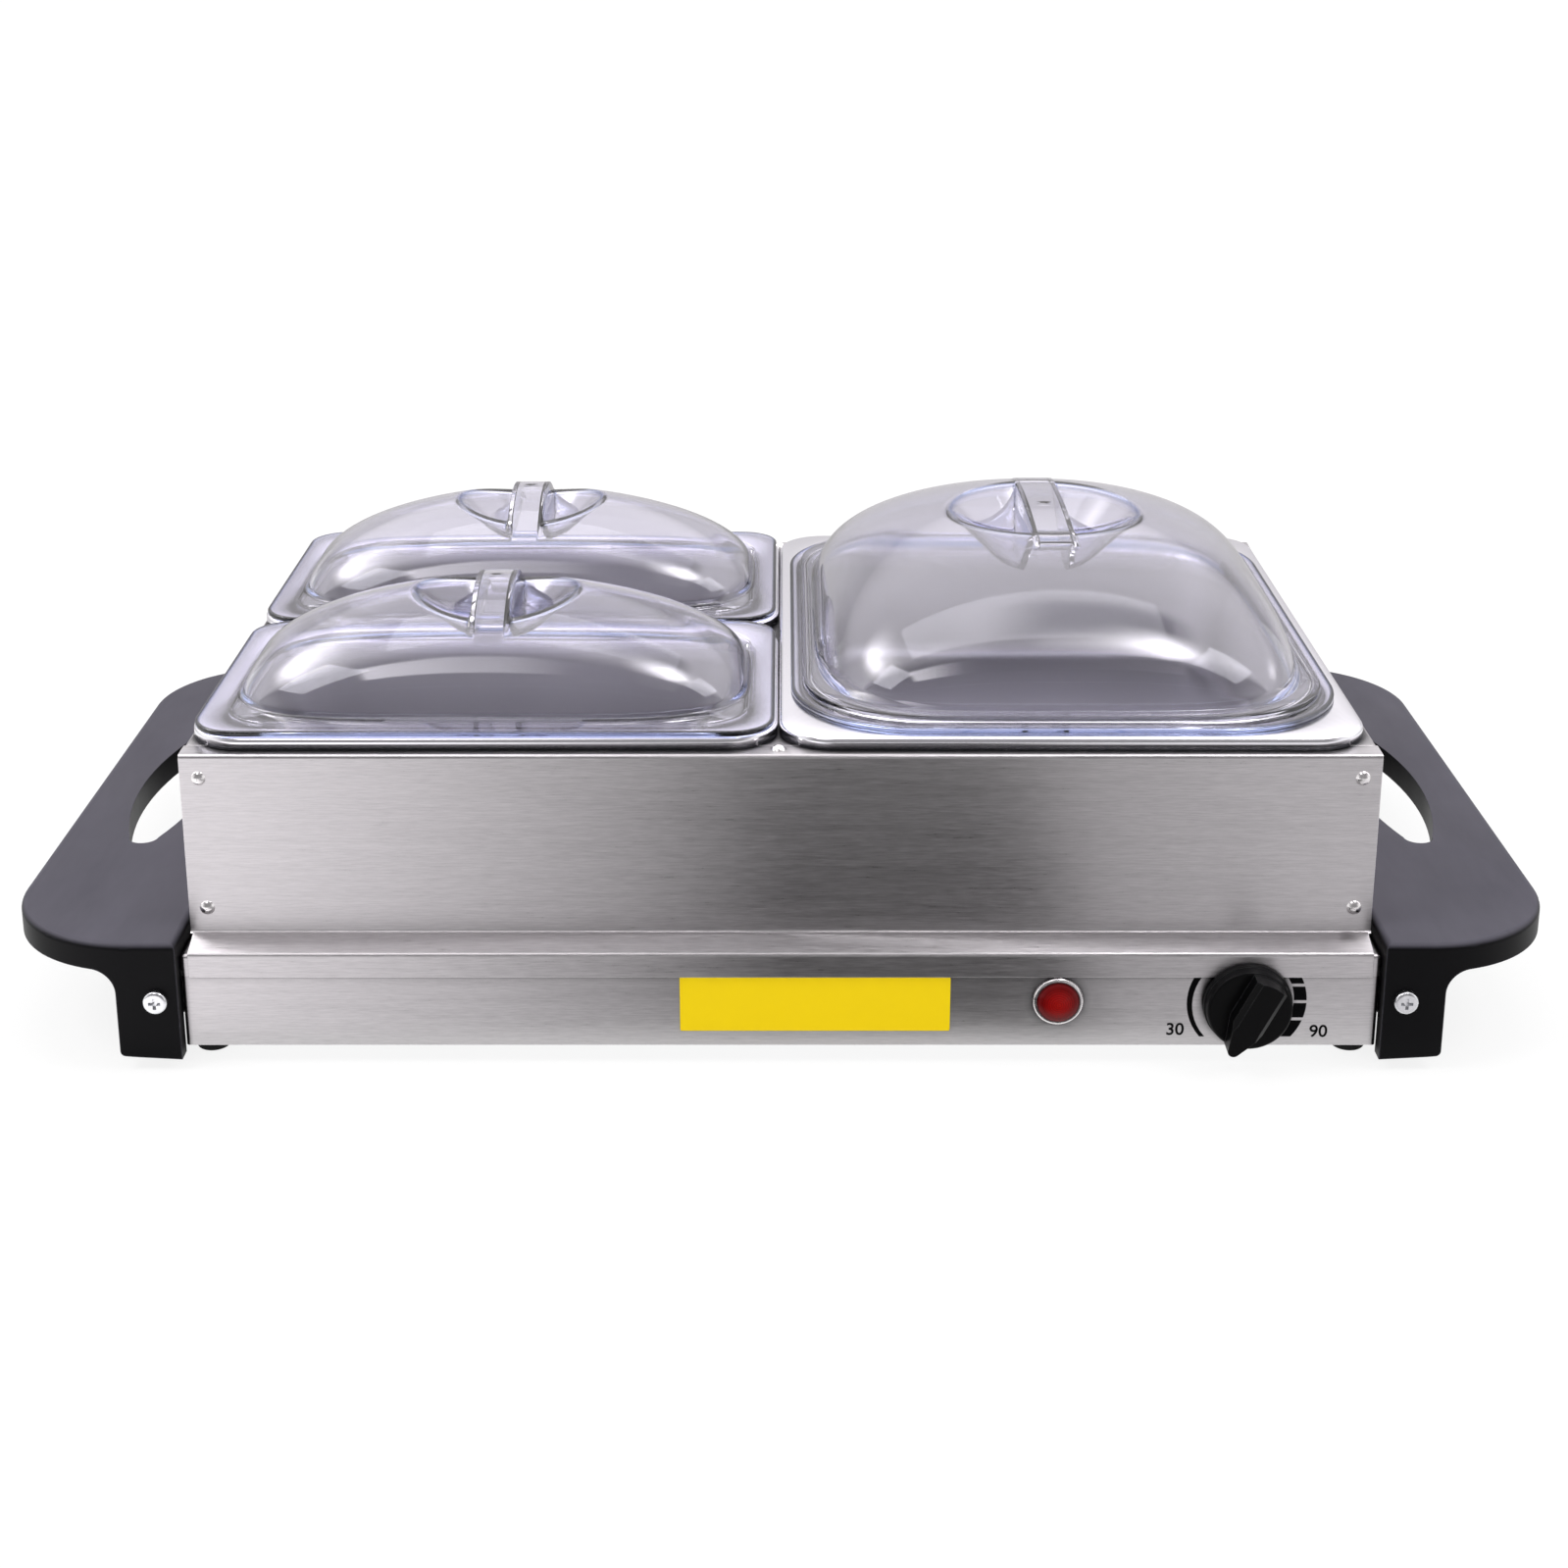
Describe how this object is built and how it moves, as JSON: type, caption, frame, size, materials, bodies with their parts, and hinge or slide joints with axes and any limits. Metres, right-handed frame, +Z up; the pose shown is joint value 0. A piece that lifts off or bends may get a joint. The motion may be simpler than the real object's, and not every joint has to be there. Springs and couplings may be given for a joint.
{
  "type": "electric food warmer tray",
  "caption": "Table-top buffet warmer: heated steel base with handles and control panel, a lift-off frame, hanging food pans, and domed clear lift-off lids with grip pockets.",
  "frame": {"origin": "on the floor under the middle of the whole object's box", "axes": "+Z up, -Y towards the controls, +X to the right of someone facing the controls"},
  "size_m": [0.7086, 0.4026, 0.2181],
  "materials": {
    "base_steel": "brushed, horizontal grain",
    "frame_steel": "brushed, horizontal grain",
    "pan_steel": "satin, drawn",
    "zinc_sheet": "zinc plated",
    "screw_zinc": "bright zinc",
    "rivet_steel": "polished",
    "foot_rubber": "matt",
    "handle_plastic": "satin",
    "knob_plastic": "satin gloss",
    "bezel_chrome": "bright",
    "red_lens": "clear red",
    "lamp_white": "plain",
    "thermostat_resin": "plain",
    "gland_nylon": "plain",
    "element_sheath": "dull",
    "reflector_aluminium": "bright sheet",
    "fuse_case": "plain",
    "terminal_resin": "plain",
    "terminal_brass": "plain",
    "lead_silicone": "plain",
    "clear_lid": "clear, faintly violet"
  },
  "bodies": {
    "base": {"base_housing": "base_steel", "base_bottom_plate": "zinc_sheet", "foot_front_left": "foot_rubber", "foot_rear_left": "foot_rubber", "foot_front_right": "foot_rubber", "foot_rear_right": "foot_rubber", "foot_screws": "screw_zinc", "foot_nuts": "screw_zinc", "bottom_plate_screws": "screw_zinc", "left_handle": "handle_plastic", "right_handle": "handle_plastic", "handle_brackets": "zinc_sheet", "bracket_rivets": "rivet_steel", "handle_screws": "screw_zinc", "thermostat_body": "thermostat_resin", "thermostat_plate": "zinc_sheet", "thermostat_screws": "screw_zinc", "indicator_bezel": "bezel_chrome", "indicator_lens": "red_lens", "indicator_lamp": "lamp_white", "indicator_nut": "lamp_white", "cable_gland": "gland_nylon", "gland_nut": "gland_nylon", "heating_element": "element_sheath", "element_clamps": "zinc_sheet", "heat_reflector": "reflector_aluminium", "reflector_standoffs": "screw_zinc", "thermal_fuse": "fuse_case", "terminal_block": "terminal_resin", "earth_stud": "terminal_brass", "internal_leads": "lead_silicone"},
    "knob": {"control_knob": "knob_plastic", "thermostat_spindle": "screw_zinc"},
    "pan_frame": {"frame_front_panel": "frame_steel", "frame_rear_panel": "frame_steel", "frame_left_side": "frame_steel", "frame_right_side": "frame_steel", "frame_centre_bar": "frame_steel", "frame_pan_divider": "frame_steel", "frame_rivets": "rivet_steel"},
    "large_pan": {"large_pan": "pan_steel"},
    "front_pan": {"front_pan": "pan_steel"},
    "rear_pan": {"rear_pan": "pan_steel"},
    "large_lid": {"large_lid": "clear_lid"},
    "front_lid": {"front_lid": "clear_lid"},
    "rear_lid": {"rear_lid": "clear_lid"}
  },
  "joints": [
    {"name": "knob_turn", "type": "hinge", "parent": "base", "child": "knob", "pos_m": [0.2103, -0.182, 0.0307], "axis": [0, 1, 0], "range_deg": [0, 300]},
    {"name": "frame_lift", "type": "slide", "parent": "base", "child": "pan_frame", "axis": [0, 0, 1], "range_m": [0, 0.11]},
    {"name": "large_pan_lift", "type": "slide", "parent": "pan_frame", "child": "large_pan", "axis": [0, 0, 1], "range_m": [0, 0.1]},
    {"name": "front_pan_lift", "type": "slide", "parent": "pan_frame", "child": "front_pan", "axis": [0, 0, 1], "range_m": [0, 0.1]},
    {"name": "rear_pan_lift", "type": "slide", "parent": "pan_frame", "child": "rear_pan", "axis": [0, 0, 1], "range_m": [0, 0.1]},
    {"name": "large_lid_lift", "type": "slide", "parent": "large_pan", "child": "large_lid", "axis": [0, 0, 1], "range_m": [0, 0.08]},
    {"name": "front_lid_lift", "type": "slide", "parent": "front_pan", "child": "front_lid", "axis": [0, 0, 1], "range_m": [0, 0.08]},
    {"name": "rear_lid_lift", "type": "slide", "parent": "rear_pan", "child": "rear_lid", "axis": [0, 0, 1], "range_m": [0, 0.08]}
  ]
}
